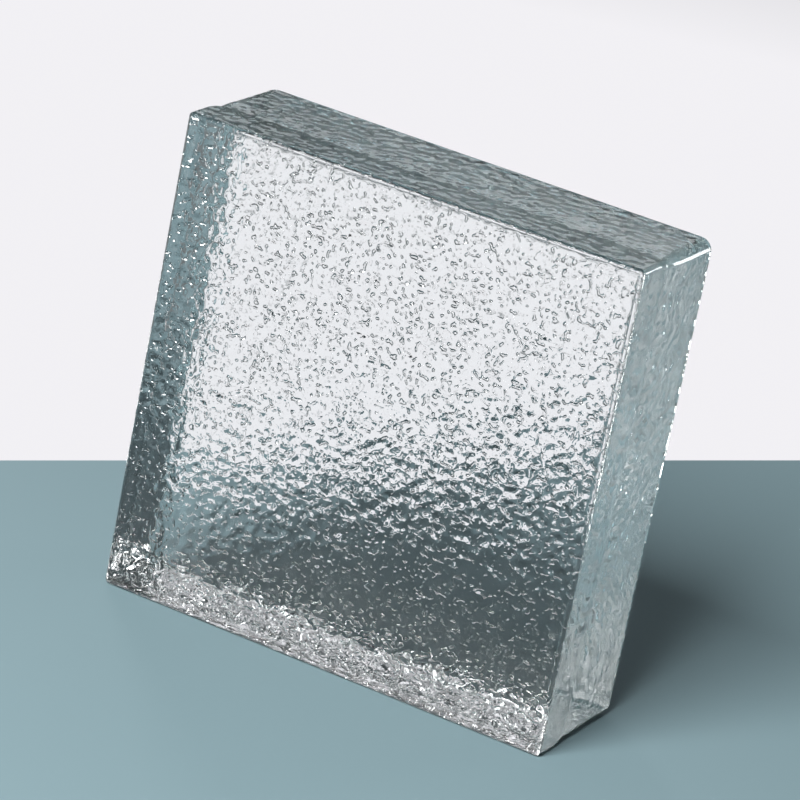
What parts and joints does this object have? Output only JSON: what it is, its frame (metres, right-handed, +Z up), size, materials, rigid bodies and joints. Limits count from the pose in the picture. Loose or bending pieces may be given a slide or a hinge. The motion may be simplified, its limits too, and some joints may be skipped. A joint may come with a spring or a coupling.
{
  "type": "glass block",
  "caption": "Solid square cast glass wall block with a hammered face, crisp front edge, rounder back edge and a shallow parting groove around its sides.",
  "frame": {"origin": "middle of the underside of the block as it stands on one of its narrow sides", "axes": "+Z up, +X along the width, +Y along the depth from the front face to the back face"},
  "size_m": [0.19, 0.06, 0.19],
  "materials": {
    "clear_glass": "clear cast glass, fire-polished sides, fine hammered relief on the front and back faces"
  },
  "bodies": {
    "root": {"glass_block": "clear_glass"}
  },
  "joints": []
}
